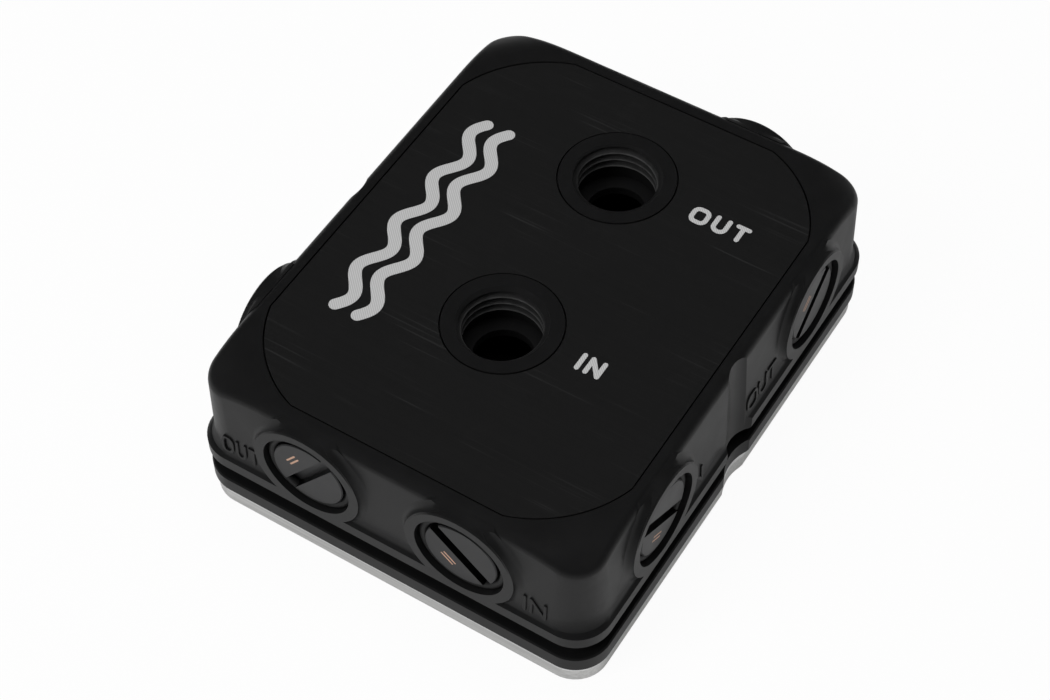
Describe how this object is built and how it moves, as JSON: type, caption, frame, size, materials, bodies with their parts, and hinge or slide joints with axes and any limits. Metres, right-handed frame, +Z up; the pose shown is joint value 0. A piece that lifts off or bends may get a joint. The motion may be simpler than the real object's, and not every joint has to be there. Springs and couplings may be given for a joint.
{
  "type": "liquid cooling cold plate",
  "caption": "Moulded black cold plate with a finned metal base, two threaded coolant ports on top and plugged ports round its sides.",
  "frame": {"origin": "centre of the contact face, on the surface that the cold plate stands on", "axes": "+Z up out of the top face, +Y along the body towards the outlet port, +X across it"},
  "size_m": [0.0646, 0.0812, 0.0267],
  "materials": {
    "housing_plastic": "satin moulded acetal",
    "anodised": "black anodised, brushed",
    "nickel": "nickel-plated copper, satin",
    "steel": "stainless sheet",
    "plug_metal": "brass, black nickel plated",
    "seal_rubber": "matt",
    "film": "clear adhesive film",
    "screw_steel": "bright steel",
    "brass": "turned"
  },
  "bodies": {
    "root": {"base_plate": "nickel", "housing": "housing_plastic", "flow_plate": "steel", "main_seal": "seal_rubber", "panel_adhesive": "film", "top_panel": "anodised", "base_screws": "screw_steel", "screw_inserts": "brass", "plug_front_out": "plug_metal", "plug_seal_front_out": "seal_rubber", "plug_front_in": "plug_metal", "plug_seal_front_in": "seal_rubber", "plug_right_in": "plug_metal", "plug_seal_right_in": "seal_rubber", "plug_right_out": "plug_metal", "plug_seal_right_out": "seal_rubber", "plug_left_out": "plug_metal", "plug_seal_left_out": "seal_rubber", "plug_back_out": "plug_metal", "plug_seal_back_out": "seal_rubber"}
  },
  "joints": []
}
